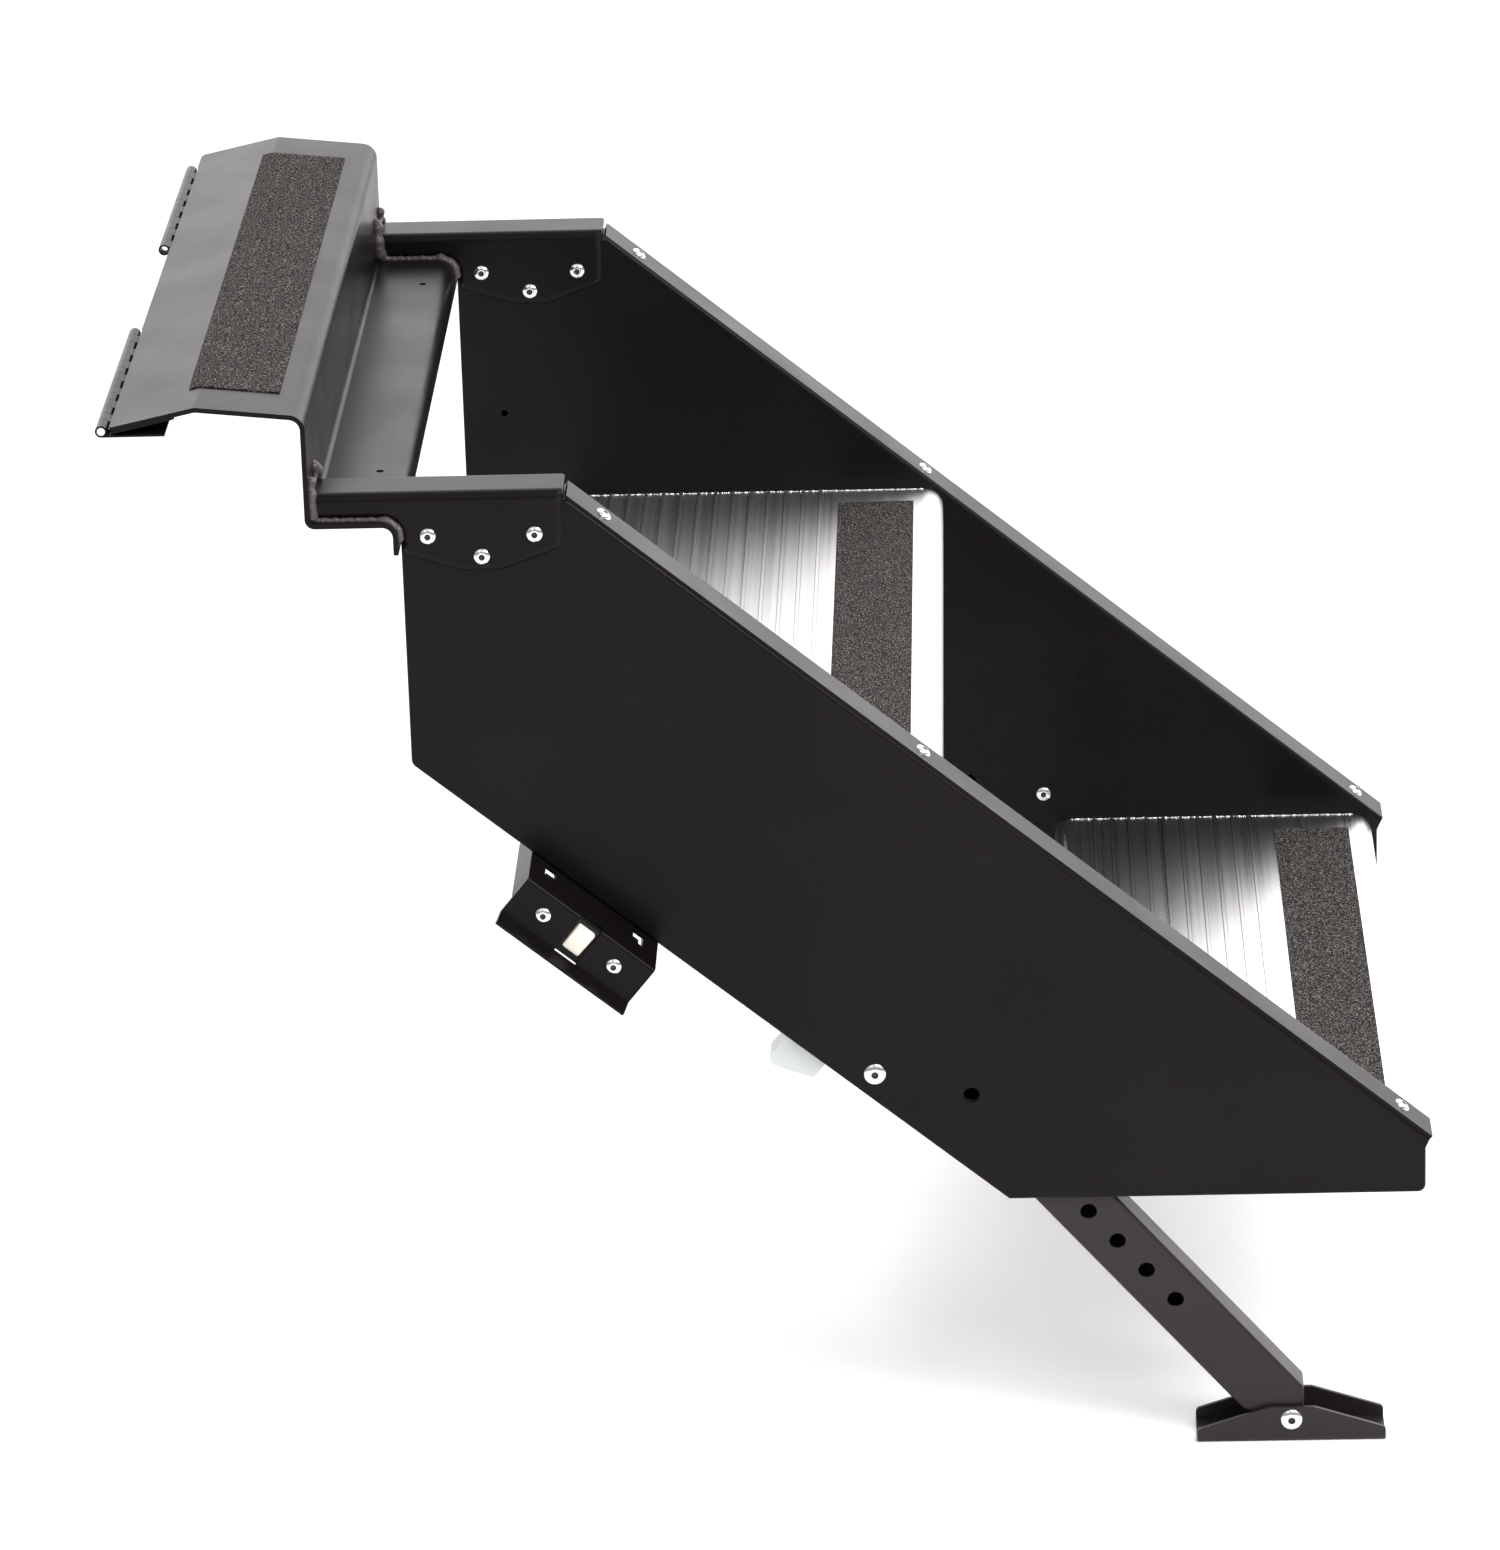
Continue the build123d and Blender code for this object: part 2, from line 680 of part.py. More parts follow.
for index in range(leg_hole_count):
    leg -= cross_bar(on_leg(index * leg_hole_pitch, 0), leg_hole_radius,
                     leg_low_y - 1, leg_high_y + 1)
leg -= cross_bar(pivot_at, pivot_radius + pivot_clearance, leg_low_y - 1, leg_high_y + 1)
save(leg, "leg_near")
save(mirrored(leg), "leg_far")

# leg guides held by rivets inside the side boxes
guide_low_y = -cavity_outer_y + guide_side_clearance
guide_high_y = -cavity_inner_y - guide_side_clearance
room = prism(shifted(box_points, skin_thickness + guide_clearance, closed=True),
             guide_low_y, guide_high_y)
bearing = half_depth + guide_clearance


def guide_block(along_range, out_range):
    """Plastic block beside the leg, inside the box."""
    block = prism([on_leg(along_range[0], out_range[1]), on_leg(along_range[1], out_range[1]),
                   on_leg(along_range[1], out_range[0]), on_leg(along_range[0], out_range[0])],
                  guide_low_y, guide_high_y)
    return block & room


lower_guide = guide_block((-76, -26), (-bearing - 27, -bearing))
upper_guide = guide_block((17, 66), (bearing, bearing + 25))
guide_bite = 8.0
lower_guide -= cross_bar(lower_guide_rivet_at, rivet_hole_radius,
                         guide_low_y - 1, guide_low_y + guide_bite)
upper_guide -= cross_bar(upper_guide_rivet_at, rivet_hole_radius,
                         guide_high_y - guide_bite, guide_high_y + 1)
outer_guide_rivet = rivet_on_side(lower_guide_rivet_at, -half_width, -1,
                                  skin_thickness + 4, lower_guide_head_radius)
inner_guide_rivet = rivet_on_side(upper_guide_rivet_at, -inner_face_y, 1, skin_thickness + 4)
for side, turn in (("near", lambda part: part), ("far", mirrored)):
    save(turn(lower_guide), f"leg_guide_lower_{side}")
    save(turn(upper_guide), f"leg_guide_upper_{side}")
save(joined([outer_guide_rivet, mirrored(outer_guide_rivet)]), "guide_rivets_outer")
save(joined([inner_guide_rivet, mirrored(inner_guide_rivet)]), "guide_rivets_inner")

# feet: bent channel with a pivot rivet
foot_half = foot_length / 2
sole_z = pivot_at[1] - foot_sole_drop
foot_outer = foot_inner_width / 2 + foot_thickness
foot_side = [
    (foot_center_x - foot_half, sole_z),
    (foot_center_x - foot_half, sole_z + foot_end_height),
    (foot_center_x - foot_flat_half, pivot_at[1] + foot_leaf_rise),
    (foot_center_x + foot_flat_half, pivot_at[1] + foot_leaf_rise),
    (foot_center_x + foot_half, sole_z + foot_end_height),
    (foot_center_x + foot_half, sole_z),
]
foot = prism(foot_side, -box_center_y - foot_outer, -box_center_y + foot_outer,
             [0, foot_corner_radius, 6, 6, foot_corner_radius, 0])
sole_edges = [
    edge for edge in foot.edges()
    if abs(edge.center().Z - sole_z) < 0.01 and edge.length > 100
]
foot = fillet(sole_edges, 3.0)
foot -= prism([(foot_center_x - foot_half - 1, sole_z + foot_thickness),
               (foot_center_x - foot_half - 1, sole_z + 60),
               (foot_center_x + foot_half + 1, sole_z + 60),
               (foot_center_x + foot_half + 1, sole_z + foot_thickness)],
              -box_center_y - foot_inner_width / 2, -box_center_y + foot_inner_width / 2)
foot -= cross_bar(pivot_at, pivot_radius + pivot_clearance,
                  -box_center_y - foot_outer - 1, -box_center_y + foot_outer + 1)
head_low = -box_center_y - foot_outer
head_high = -box_center_y + foot_outer
pivot_rivet = rivet(pivot_head_radius, pivot_head_height, pivot_radius,
                    head_high - head_low - 0.01, 0.01)
pivot_rivet = Pos(pivot_at[0], head_low, pivot_at[1]) * Rot(90, 0, 0) * pivot_rivet
pivot_rivet += cross_bar(pivot_at, pivot_head_radius - 0.5, head_high, head_high + 1.6)
save(foot, "foot_near")
save(mirrored(foot), "foot_far")
save(pivot_rivet, "foot_rivet_near")
save(mirrored(pivot_rivet), "foot_rivet_far")

# latch bracket under the near box; the far skin has no holes for it
far_outer_skin = mirrored(outer_skin)
face_y = -half_width - latch_reach
wall_end_y = face_y + latch_wall_depth
left, right = latch_place, latch_place + latch_width


def under_block(span, drop, y_from, y_to, radii=None):
    """Block in the slanted frame of the underside."""
    points = [on_underside(span[0], drop[0]), on_underside(span[1], drop[0]),
              on_underside(span[1], drop[1]), on_underside(span[0], drop[1])]
    return prism(points, y_from, y_to, radii)


web = under_block((left, right), (0, latch_thickness), face_y, wall_end_y)
face = under_block((left, right), (0, latch_face_height), face_y, face_y + latch_thickness)
wall = under_block((left, left + latch_thickness), (0, latch_wall_height), face_y, wall_end_y)
bracket = web + face + wall
fold = [
    edge for edge in bracket.edges()
    if abs(edge.center().Y - face_y) < 0.01 and edge.length > 90
]
fold = [max(fold, key=lambda edge: edge.center().Z)]
bracket = fillet(fold, 2.4)
lip_along = unit((0, 0), (math.cos(math.radians(latch_lip_angle)),
                          math.sin(math.radians(latch_lip_angle))))
heel_point = on_underside(0, 0)
out_point = on_underside(0, 1)
run_point = on_underside(1, 0)
down = Vector(out_point[0] - heel_point[0], 0, out_point[1] - heel_point[1])
run = Vector(run_point[0] - heel_point[0], 0, run_point[1] - heel_point[1])
lip_origin = on_underside(left, latch_face_height)
lip_plane = Plane(origin=(lip_origin[0], face_y + latch_thickness, lip_origin[1]),
                  x_dir=down, z_dir=run)
turn_out = 1 if (lip_plane.y_dir.Y < 0) else -1
lip_step = (latch_lip_length * lip_along[0], turn_out * latch_lip_length * lip_along[1])
lip_side = (-latch_thickness * lip_along[1], turn_out * latch_thickness * lip_along[0])
lip_face = make_face(Polyline(
    (-0.5, 0), lip_step, (lip_step[0] + lip_side[0], lip_step[1] + lip_side[1]),
    (lip_side[0] - 0.5, lip_side[1]), (-1.5, 0.0), close=True))
lip = extrude(lip_plane * lip_face, amount=right - left, dir=run)
bracket += lip
slot = (latch_middle - latch_slot_width / 2, latch_middle + latch_slot_width / 2)
bracket -= under_block(slot, (-1, latch_face_height - 1), face_y - 1, face_y + latch_thickness + 1)
bracket -= under_block(slot, (-1, latch_thickness + 1), face_y - 1, face_y + latch_slot_reach)
window_high_y = -half_width - latch_window_margin
for turn in (-1, 1):
    start = latch_middle + turn * latch_window_spread / 2 - latch_window_width / 2
    end = start + latch_window_width
    corners = [(start, window_high_y), (end, window_high_y),
               (end, window_high_y - latch_window_length),
               (start, window_high_y - latch_window_length * 0.82)]
    low = [(on_underside(s, -1)[0], y, on_underside(s, -1)[1]) for s, y in corners]
    cutter = make_face(Polyline(*low, close=True))
    bracket -= extrude(cutter, amount=latch_thickness + 2, dir=down)
latch_rivets = []
guide_span = (latch_middle - latch_guide_width / 2, latch_middle + latch_guide_width / 2)
guide_drop = (latch_thickness + tread_fit, latch_face_height - latch_thickness)
guide_start_y = face_y + latch_thickness
guide_end_y = guide_start_y + latch_guide_length
latch_guide = under_block(guide_span, guide_drop, guide_start_y, guide_end_y)
tongue_span = (latch_middle - tongue_width / 2, latch_middle + tongue_width / 2)
tongue_drop = (tongue_top_drop, tongue_top_drop + tongue_height)
channel = (tongue_span[0] - tongue_clearance, tongue_span[1] + tongue_clearance)
channel_drop = (tongue_drop[0] - tongue_clearance, tongue_drop[1] + tongue_clearance)
latch_guide -= under_block(channel, channel_drop, guide_start_y - 1, guide_end_y + 1)
for turn in (-1, 1):
    at = on_underside(latch_middle + turn * latch_rivet_spread / 2, latch_rivet_drop)
    bracket -= cross_bar(at, rivet_hole_radius, face_y - 1, face_y + latch_thickness + 1)
    latch_guide -= cross_bar(at, rivet_hole_radius, face_y, face_y + latch_guide_length / 3)
    latch_rivets.append(rivet_on_side(at, face_y, -1, 3 * latch_thickness))
for turn in (-1, 1):
    at = on_underside(latch_middle + turn * latch_anchor_spread / 2, latch_thickness)
    angle = math.degrees(math.atan2(down.X, down.Z))
    place = Pos(at[0], -box_center_y, at[1]) * Rot(0, angle, 0)
    hole = place * Cylinder(rivet_hole_radius, 6 * latch_thickness)
    bracket -= hole
    outer_skin -= hole
    latch_rivets.append(place * rivet(rivet_head_radius, rivet_head_height, rivet_shank_radius,
                                      latch_thickness + skin_thickness, rivet_tail))
save(bracket, "latch_bracket")
save(latch_guide, "latch_guide")
save(joined(latch_rivets), "latch_rivets")
tongue = under_block(tongue_span, tongue_drop, face_y - tongue_proud, guide_end_y)
save(tongue, "latch_tongue")

# glide pads
glide_end = glide_place + glide_length
pad = prism([on_underside(glide_place, 0), on_underside(glide_end, 0),
             on_underside(glide_end, glide_shallow_end), on_underside(glide_place, glide_deep_end)],
            -box_center_y - glide_width / 2, -box_center_y + glide_width / 2, [0, 0, 3, 5])
save(pad, "glide_pad_near")
save(mirrored(pad), "glide_pad_far")

save(outer_skin, "outer_skin_near")
save(far_outer_skin, "outer_skin_far")
save(inner_skin, "inner_skin_near")
save(mirrored(inner_skin), "inner_skin_far")
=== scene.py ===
import bpy
import json
import math
from mathutils import Matrix, Vector


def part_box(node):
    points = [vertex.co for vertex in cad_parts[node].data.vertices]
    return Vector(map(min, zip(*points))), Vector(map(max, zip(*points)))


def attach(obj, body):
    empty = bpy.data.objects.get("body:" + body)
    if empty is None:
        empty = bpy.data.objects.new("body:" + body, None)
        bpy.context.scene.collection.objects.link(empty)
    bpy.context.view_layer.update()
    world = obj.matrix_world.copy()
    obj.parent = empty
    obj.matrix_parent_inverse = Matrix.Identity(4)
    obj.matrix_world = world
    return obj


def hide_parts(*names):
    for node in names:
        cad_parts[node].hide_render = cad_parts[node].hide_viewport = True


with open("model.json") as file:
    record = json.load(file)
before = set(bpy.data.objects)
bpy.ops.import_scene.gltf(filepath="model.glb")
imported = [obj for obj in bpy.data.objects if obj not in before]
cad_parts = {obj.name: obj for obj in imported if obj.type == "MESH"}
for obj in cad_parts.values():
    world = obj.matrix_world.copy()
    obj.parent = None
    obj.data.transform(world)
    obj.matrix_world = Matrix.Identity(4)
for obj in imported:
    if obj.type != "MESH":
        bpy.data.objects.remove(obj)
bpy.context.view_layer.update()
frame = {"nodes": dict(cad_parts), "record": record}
print("frame loaded:", len(frame["nodes"]), "nodes")

# Camera, fitted to the photo, in metres and degrees
view = {"place": (0.53018, -4.48141, 1.34157), "yaw": -2.0383, "pitch": 20.5, "roll": 1.8044,
        "lens": 171.12, "sensor": 36}
cameraPlace = Vector(view["place"])
cameraYaw = math.radians(view["yaw"])
cameraPitch = math.radians(view["pitch"])
cameraRoll = math.radians(view["roll"])

ahead = Vector((math.sin(cameraYaw) * math.cos(cameraPitch),
                math.cos(cameraYaw) * math.cos(cameraPitch),
                -math.sin(cameraPitch)))
levelRight = Vector((math.cos(cameraYaw), -math.sin(cameraYaw), 0))
levelDown = ahead.cross(levelRight)
tiltedRight = math.cos(cameraRoll) * levelRight + math.sin(cameraRoll) * levelDown
tiltedDown = math.cos(cameraRoll) * levelDown - math.sin(cameraRoll) * levelRight

cameraData = bpy.data.cameras.new("camera")
cameraData.lens = view["lens"]
cameraData.sensor_width = view["sensor"]
cameraData.sensor_fit = "AUTO"
cameraData.clip_end = 60
camera = bpy.data.objects.new("camera", cameraData)
camera.matrix_world = Matrix((
    (tiltedRight.x, -tiltedDown.x, -ahead.x, cameraPlace.x),
    (tiltedRight.y, -tiltedDown.y, -ahead.y, cameraPlace.y),
    (tiltedRight.z, -tiltedDown.z, -ahead.z, cameraPlace.z),
    (0, 0, 0, 1),
))
scene = bpy.context.scene
scene.collection.objects.link(camera)
scene.camera = camera
scene.view_settings.view_transform = "Standard"
print("camera placed")


def linear(hexCode):
    values = [int(hexCode[i:i + 2], 16) / 255 for i in (1, 3, 5)]
    return [v / 12.92 if v <= 0.04045 else ((v + 0.055) / 1.055) ** 2.4 for v in values] + [1]


def newMaterial(name, color, roughness, metallic=0.0, specular=0.5):
    material = bpy.data.materials.new(name)
    material.use_nodes = True
    shader = material.node_tree.nodes["Principled BSDF"]
    shader.inputs["Base Color"].default_value = color
    shader.inputs["Roughness"].default_value = roughness
    shader.inputs["Metallic"].default_value = metallic
    shader.inputs["Specular IOR Level"].default_value = specular
    return material, material.node_tree, shader


def objectNoise(tree, scale, detail=2.0, stretch=(1, 1, 1)):
    coordinate = tree.nodes.new("ShaderNodeTexCoord")
    mapping = tree.nodes.new("ShaderNodeMapping")
    mapping.inputs["Scale"].default_value = stretch
    noise = tree.nodes.new("ShaderNodeTexNoise")
    noise.inputs["Scale"].default_value = scale
    noise.inputs["Detail"].default_value = detail
    tree.links.new(coordinate.outputs["Object"], mapping.inputs["Vector"])
    tree.links.new(mapping.outputs["Vector"], noise.inputs["Vector"])
    return noise.outputs["Fac"]


def colorRamp(tree, factor, stops):
    ramp = tree.nodes.new("ShaderNodeValToRGB")
    elements = ramp.color_ramp.elements
    while len(elements) < len(stops):
        elements.new(0.5)
    for element, (position, color) in zip(elements, stops):
        element.position = position
        element.color = color
    tree.links.new(factor, ramp.inputs["Fac"])
    return ramp.outputs["Color"]


def remap(tree, factor, fromLow, fromHigh, toLow, toHigh):
    node = tree.nodes.new("ShaderNodeMapRange")
    node.inputs["From Min"].default_value = fromLow
    node.inputs["From Max"].default_value = fromHigh
    node.inputs["To Min"].default_value = toLow
    node.inputs["To Max"].default_value = toHigh
    tree.links.new(factor, node.inputs["Value"])
    return node.outputs["Result"]


def addBump(tree, shader, height, strength, distance):
    bump = tree.nodes.new("ShaderNodeBump")
    bump.inputs["Strength"].default_value = strength
    bump.inputs["Distance"].default_value = distance
    tree.links.new(height, bump.inputs["Height"])
    tree.links.new(bump.outputs["Normal"], shader.inputs["Normal"])


# Black powder coat
def newCoat(name, dark, light, specular, rough):
    material, tree, shader = newMaterial(name, linear(dark), rough, specular=specular)
    cloud = objectNoise(tree, 7, 3)
    tree.links.new(colorRamp(tree, cloud, [(0.3, linear(dark)), (0.7, linear(light))]),
                   shader.inputs["Base Color"])
    tree.links.new(remap(tree, objectNoise(tree, 16, 4), 0.3, 0.7, rough - 0.04, rough + 0.04),
                   shader.inputs["Roughness"])
    shader.inputs["Specular Tint"].default_value = (1.0, 0.95, 0.96, 1)
    addBump(tree, shader, objectNoise(tree, 900, 2), 0.1, 0.0001)
    return material


blackCoat = newCoat("blackCoat", "#0e0b0c", "#131011", 0.1, 0.3)
legCoat = newCoat("legCoat", "#1d191a", "#231f20", 0.3, 0.4)
weldCoat = newCoat("weldCoat", "#3c3838", "#4b4646", 0.4, 0.38)

# Bare tread extrusion, brushed along its length, with painted shade along the foot of each rib
ribPitch = 0.01183
ribsOf = {"upper": {"first": 0.2737, "count": 13, "top": -0.2276, "rough": (0.36, 0.42)},
          "lower": {"first": 0.5974, "count": 10, "top": -0.4691, "rough": (0.26, 0.32)}}


def calculate(tree, operation, first, second):
    node = tree.nodes.new("ShaderNodeMath")
    node.operation = operation
    for socket, value in zip(node.inputs, (first, second)):
        if isinstance(value, (int, float)):
            socket.default_value = value
        else:
            tree.links.new(value, socket)
    return node.outputs["Value"]


def newAlloy(name, ribs):
    material, tree, shader = newMaterial(name, linear("#cfcfcf"), 0.3, metallic=1)
    coordinate = tree.nodes.new("ShaderNodeTexCoord")
    split = tree.nodes.new("ShaderNodeSeparateXYZ")
    tree.links.new(coordinate.outputs["Object"], split.inputs["Vector"])
    along = calculate(tree, "SUBTRACT", split.outputs["X"], ribs["first"] - ribPitch / 2)
    steps = calculate(tree, "DIVIDE", along, ribPitch)
    inRibs = calculate(tree, "MULTIPLY", calculate(tree, "GREATER_THAN", steps, 0),
                       calculate(tree, "LESS_THAN", steps, ribs["count"]))
    onTop = calculate(tree, "GREATER_THAN", split.outputs["Z"], ribs["top"] - 0.003)
    inRibs = calculate(tree, "MULTIPLY", inRibs, onTop)
    # painted shade: a dark line at the rear foot and a fainter one at the front foot of each rib, on the top
    # faces only
    ribRootShade = colorRamp(tree, calculate(tree, "FRACT", steps, 0), [
        (0.36, (1, 1, 1, 1)), (0.4, (0.22, 0.22, 0.22, 1)), (0.43, (1, 1, 1, 1)),
        (0.57, (1, 1, 1, 1)), (0.6, (0.5, 0.5, 0.5, 1)), (0.64, (1, 1, 1, 1))])
    streak = objectNoise(tree, 300, 3, stretch=(1, 0.001, 1))
    brushed = colorRamp(tree, streak, [(0.3, linear("#d2d2d3")), (0.7, linear("#dedede"))])
    blend = tree.nodes.new("ShaderNodeMix")
    blend.data_type = "RGBA"
    blend.blend_type = "MULTIPLY"
    tree.links.new(inRibs, blend.inputs["Factor"])
    tree.links.new(brushed, blend.inputs["A"])
    tree.links.new(ribRootShade, blend.inputs["B"])
    tree.links.new(blend.outputs["Result"], shader.inputs["Base Color"])
    tree.links.new(remap(tree, streak, 0.3, 0.7, *ribs["rough"]), shader.inputs["Roughness"])
    return material


treadAlloy = newAlloy("upperAlloy", ribsOf["upper"])
lowerAlloy = newAlloy("lowerAlloy", ribsOf["lower"])

# Gritty tape
gripTape, tree, shader = newMaterial("gripTape", linear("#3b3733"), 0.9, specular=0.1)
grit = objectNoise(tree, 1000, 1)
tree.links.new(colorRamp(tree, grit, [(0.42, linear("#151313")), (0.56, linear("#2e2c2b")),
                                      (0.67, linear("#7b7774"))]), shader.inputs["Base Color"])

# Zinc plate
zincPlate, tree, shader = newMaterial("zincPlate", linear("#e4e5e7"), 0.16, metallic=1)
tree.links.new(remap(tree, objectNoise(tree, 400, 2), 0.3, 0.7, 0.12, 0.22), shader.inputs["Roughness"])
# Dark grey for the faces down in the mandrel hole and on its inner rim: the mandrel's own darker tone, and
# painted shade on the hole's walls and rim
rivetMandrelAndShade, tree, shader = newMaterial("rivetMandrelAndShade", linear("#2f3032"), 0.5)
tree.links.new(remap(tree, objectNoise(tree, 400, 2), 0.3, 0.7, 0.45, 0.55), shader.inputs["Roughness"])

# Plastics
blackPlastic, tree, shader = newMaterial("blackPlastic", linear("#141314"), 0.5, specular=0.25)
addBump(tree, shader, objectNoise(tree, 700, 2), 0.1, 0.0002)
ivoryPlastic, tree, shader = newMaterial("ivoryPlastic", linear("#efeae0"), 0.4)
tree.links.new(colorRamp(tree, objectNoise(tree, 60, 2), [(0.3, linear("#e6dfd0")), (0.7, linear("#efe9dc"))]),
               shader.inputs["Base Color"])
shader.inputs["Subsurface Weight"].default_value = 0.15
shader.inputs["Subsurface Radius"].default_value = (0.004, 0.003, 0.002)
whitePlastic, tree, shader = newMaterial("whitePlastic", linear("#e6e7e8"), 0.35)
tree.links.new(colorRamp(tree, objectNoise(tree, 50, 2), [(0.3, linear("#c3cac6")), (0.7, linear("#d3d8d5"))]),
               shader.inputs["Base Color"])
shader.inputs["Subsurface Weight"].default_value = 0.3
shader.inputs["Subsurface Radius"].default_value = (0.006, 0.006, 0.006)

finishOfSlot = {
    "black_coat": blackCoat,
    "tread_alloy": treadAlloy,
    "zinc": zincPlate,
    "grip_tape": gripTape,
    "black_plastic": blackPlastic,
    "ivory_plastic": ivoryPlastic,
    "white_plastic": whitePlastic,
}
finishOfNode = {node: legCoat for node in ("leg_near", "leg_far", "foot_near", "foot_far")}
finishOfNode["lower_tread"] = lowerAlloy
slotOfNode = {part["node"]: part["material_slot"] for part in frame["record"]["subparts"]}
for node, piece in frame["nodes"].items():
    piece.data.materials.clear()
    piece.data.materials.append(finishOfNode.get(node, finishOfSlot[slotOfNode[node]]))
print("materials set")


def deselect():
    if bpy.context.object and bpy.context.object.mode != "OBJECT":
        bpy.ops.object.mode_set(mode="OBJECT")
    bpy.ops.object.select_all(action="DESELECT")


def joinPieces(pieces, name):
    deselect()
    for piece in pieces:
        piece.select_set(True)
    bpy.context.view_layer.objects.active = pieces[0]
    if len(pieces) > 1:
        bpy.ops.object.join()
    bpy.ops.object.transform_apply(location=True, rotation=True, scale=True)
    joined = bpy.context.object
    joined.name = name
    return joined


def finish(piece, material, body):
    if material:
        piece.data.materials.clear()
        piece.data.materials.append(material)
    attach(piece, body)


# Rivets with a round head and an open mandrel hole
# Each profile is a row of radius and height, from the shank up over the head.
smallRivet = {
    "segments": 32,
    "hollow": 0.00195,
    "shank": (0.0032, -0.0045),
    "profile": [(0.0032, 0), (0.0052, 0), (0.0052, 0.0004), (0.0048, 0.0011), (0.0040, 0.0017),
                (0.0029, 0.0021), (0.0019, 0.0022), (0.0016, 0.0020), (0.0015, 0.0009), (0.0008, 0.0008)],
}
largeRivet = {
    "segments": 40,
    "hollow": 0.0024,
    "shank": (0.0032, -0.0065),
    "profile": [(0.0032, 0), (0.0070, 0), (0.0070, 0.0004), (0.0066, 0.0011), (0.0056, 0.0017),
                (0.0040, 0.0022), (0.0023, 0.0024), (0.0019, 0.0022), (0.0018, 0.0010), (0.0010, 0.0009)],
}


def makeRivet(shape, turn, place):
    deselect()
    radius, level = shape["shank"]
    bpy.ops.mesh.primitive_circle_add(vertices=shape["segments"], radius=radius,
                                      fill_type="NGON", location=(0, 0, level))
    bpy.ops.object.transform_apply(location=True)
    rivet = bpy.context.object
    bpy.ops.object.mode_set(mode="EDIT")
    bpy.ops.mesh.select_all(action="SELECT")
    for nextRadius, nextLevel in shape["profile"]:
        bpy.ops.mesh.extrude_region_move(TRANSFORM_OT_translate={"value": (0, 0, nextLevel - level)})
        bpy.ops.transform.resize(value=(nextRadius / radius, nextRadius / radius, 1),
                                 center_override=(0, 0, nextLevel))
        radius, level = nextRadius, nextLevel
    bpy.ops.mesh.select_all(action="SELECT")
    bpy.ops.mesh.normals_make_consistent(inside=False)
    bpy.ops.object.mode_set(mode="OBJECT")
    bpy.ops.object.shade_smooth_by_angle(angle=math.radians(50))
    rivet.data.materials.append(zincPlate)
    rivet.data.materials.append(rivetMandrelAndShade)
    # faces in and around the mandrel hole take the dark grey, partly painted shade
    for face in rivet.data.polygons:
        if face.center.z > 0.0004 and face.center.xy.length < shape["hollow"]:
            face.material_index = 1
    rivet.rotation_euler = turn
    rivet.location = place
    return rivet


# Faces that the rivets stand on, as distances from mid width, and the turns of their heads
armFace = 0.294
armInside = 0.257
skinFace = 0.2915
insideFace = 0.2595
boxMiddle = (skinFace + insideFace) / 2
latchFace = 0.3345
outward = math.radians(90)
slopeTurn = math.radians(39.47)
underTurn = math.radians(-140.52)

rivetGroups = {
    node: {"shape": largeRivet if node == "guide_rivets_outer" else smallRivet, "near": [], "far": []}
    for node in ("arm_rivets", "flange_rivets", "guide_rivets_outer", "guide_rivets_inner", "latch_rivets")
}
for x, z in ((0.1920, -0.0680), (0.2563, -0.0680), (0.2241, -0.0815)):
    rivetGroups["arm_rivets"]["near"] += [((outward, 0, 0), (x, -armFace, z)),
                                          ((-outward, 0, 0), (x, -armInside, z))]
    rivetGroups["arm_rivets"]["far"] += [((-outward, 0, 0), (x, armFace, z)),
                                         ((outward, 0, 0), (x, armInside, z))]
for x, z in ((0.29727, -0.06284), (0.48637, -0.21860), (0.77747, -0.45838)):
    for side, y in (("near", -boxMiddle), ("far", boxMiddle)):
        rivetGroups["flange_rivets"][side].append(((0, slopeTurn, 0), (x, y, z)))
guideOuter = rivetGroups["guide_rivets_outer"]
guideOuter["near"].append(((outward, 0, 0), (0.4523, -skinFace, -0.4244)))
guideOuter["far"].append(((-outward, 0, 0), (0.4523, skinFace, -0.4244)))
guideInner = rivetGroups["guide_rivets_inner"]
guideInner["near"].append(((-outward, 0, 0), (0.5629, -insideFace, -0.4500)))
guideInner["far"].append(((outward, 0, 0), (0.5629, insideFace, -0.4500)))
for x, z in ((0.25441, -0.29818), (0.29593, -0.33239)):
    rivetGroups["latch_rivets"]["near"].append(((outward, 0, 0), (x, -latchFace, z)))
for x, z in ((0.26648, -0.29251), (0.29889, -0.31921)):
    rivetGroups["latch_rivets"]["near"].append(((0, underTurn, 0), (x, -boxMiddle, z)))

for node, group in rivetGroups.items():
    rivets = [makeRivet(group["shape"], turn, place) for turn, place in group["near"] + group["far"]]
    piece = joinPieces(rivets, node + "_round")
    finish(piece, None, "step")
    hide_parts(node)
print("rivets made")

